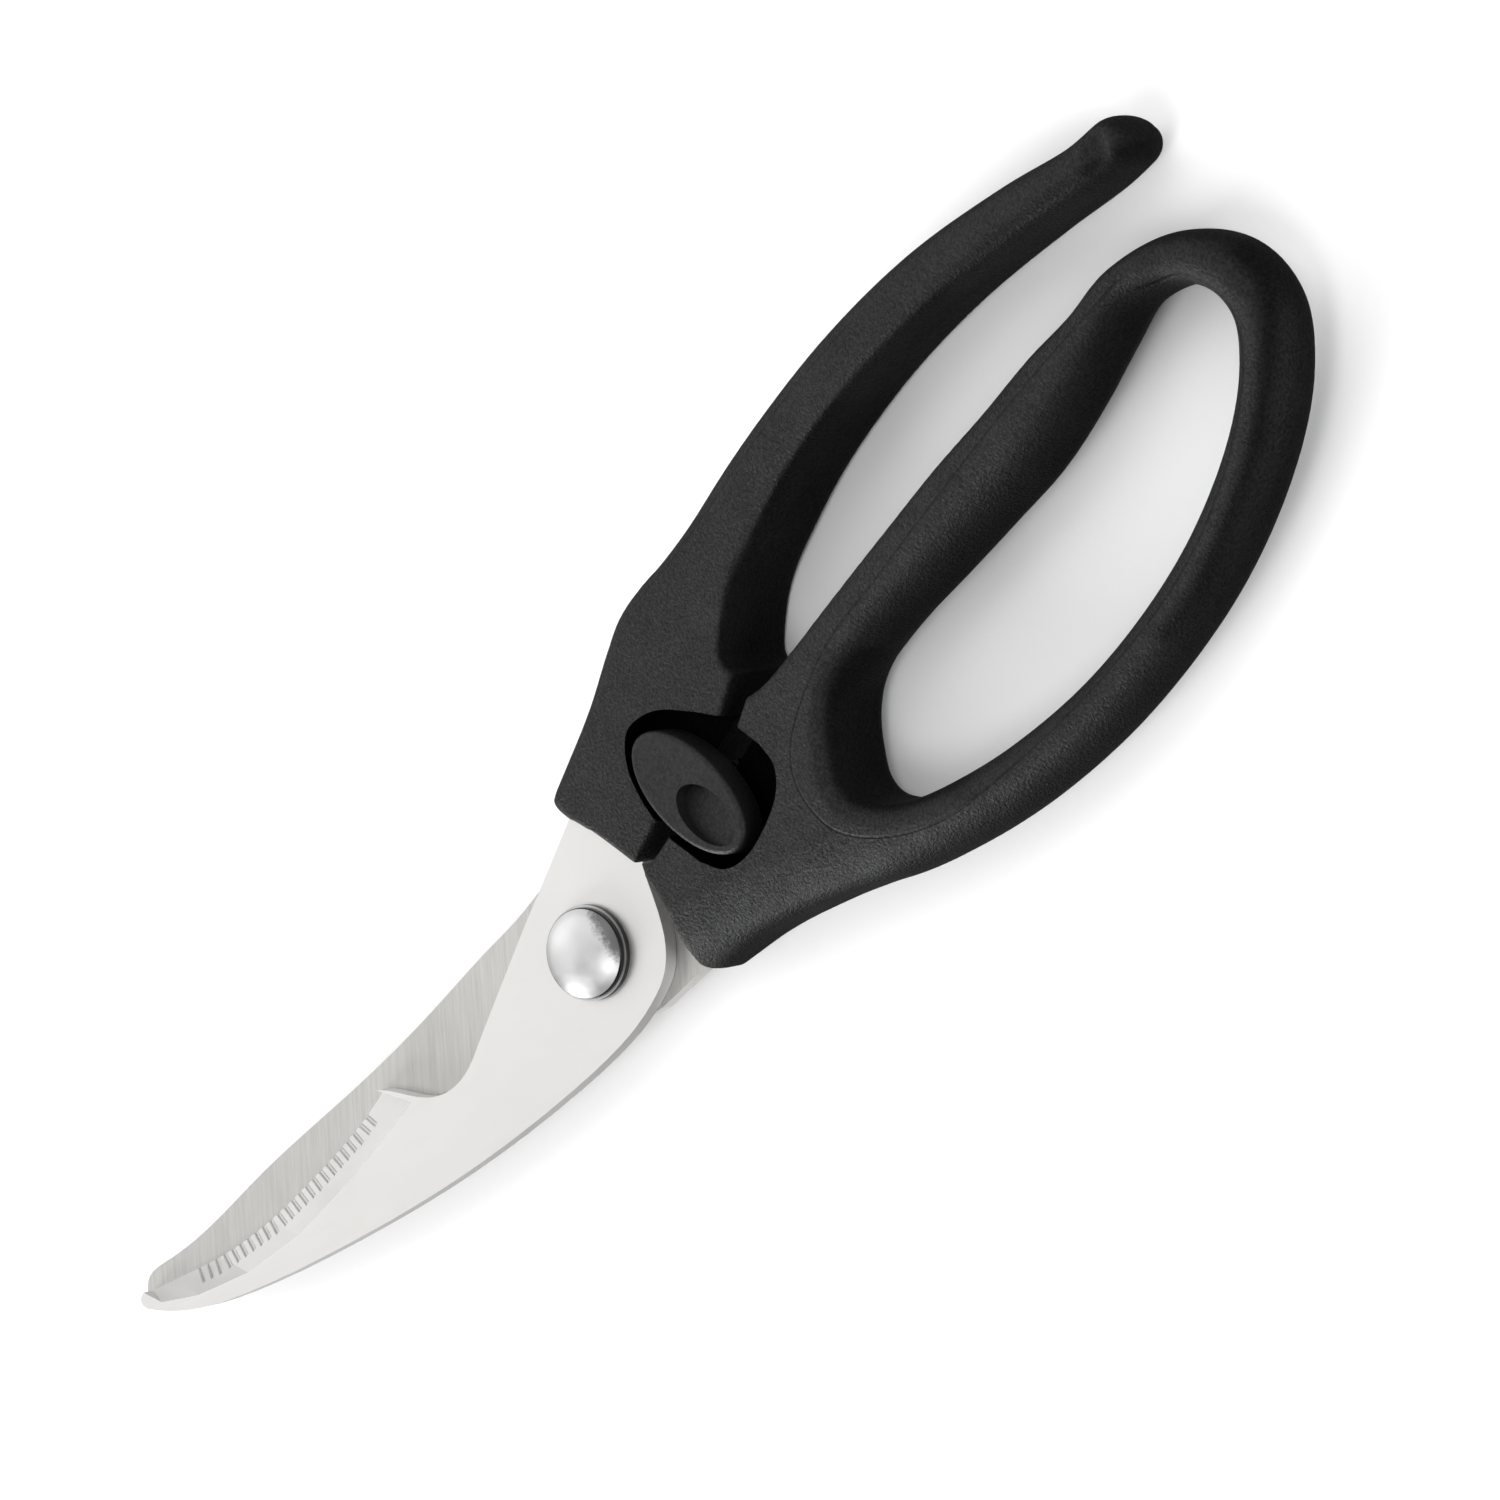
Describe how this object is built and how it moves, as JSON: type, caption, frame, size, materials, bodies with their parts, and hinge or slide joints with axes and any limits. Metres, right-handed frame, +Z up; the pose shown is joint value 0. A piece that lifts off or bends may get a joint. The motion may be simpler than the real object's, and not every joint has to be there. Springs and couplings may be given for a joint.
{
  "type": "poultry shears",
  "caption": "Poultry shears with curved blades, a bone notch, one open and one looped black grip, and a thumb catch in the hub.",
  "frame": {"origin": "middle of the underside's bounding rectangle, on the plane the shears lie on", "axes": "+X towards the blade tips, +Y towards the looped handle, +Z up out of the front face that carries the catch and the domed pivot head"},
  "size_m": [0.2356, 0.1016, 0.0169],
  "materials": {
    "blade_steel": "fine satin grind",
    "polished_steel": "polished",
    "handle_plastic": "fine spark-eroded grain",
    "catch_plastic": "smooth satin",
    "spring_steel": "drawn wire"
  },
  "bodies": {
    "loop_half": {"loop_handle": "handle_plastic", "rear_blade": "blade_steel", "pivot_bolt": "polished_steel", "front_washer": "polished_steel", "rear_washer": "polished_steel", "pivot_nut": "polished_steel", "opening_spring": "spring_steel"},
    "open_half": {"open_handle": "handle_plastic", "front_blade": "blade_steel", "catch_pin": "spring_steel"},
    "catch": {"catch_lever": "catch_plastic"}
  },
  "joints": [
    {"name": "blade_pivot", "type": "hinge", "parent": "loop_half", "child": "open_half", "pos_m": [0.0266, -0.0083, 0.0083], "axis": [0, 0, 1], "range_deg": [0, 36], "deforming": ["opening_spring"]},
    {"name": "catch_swing", "type": "hinge", "parent": "open_half", "child": "catch", "pos_m": [-0.0061, -0.0085, 0.0083], "axis": [0, 0, 1], "range_deg": [0, 28]}
  ]
}
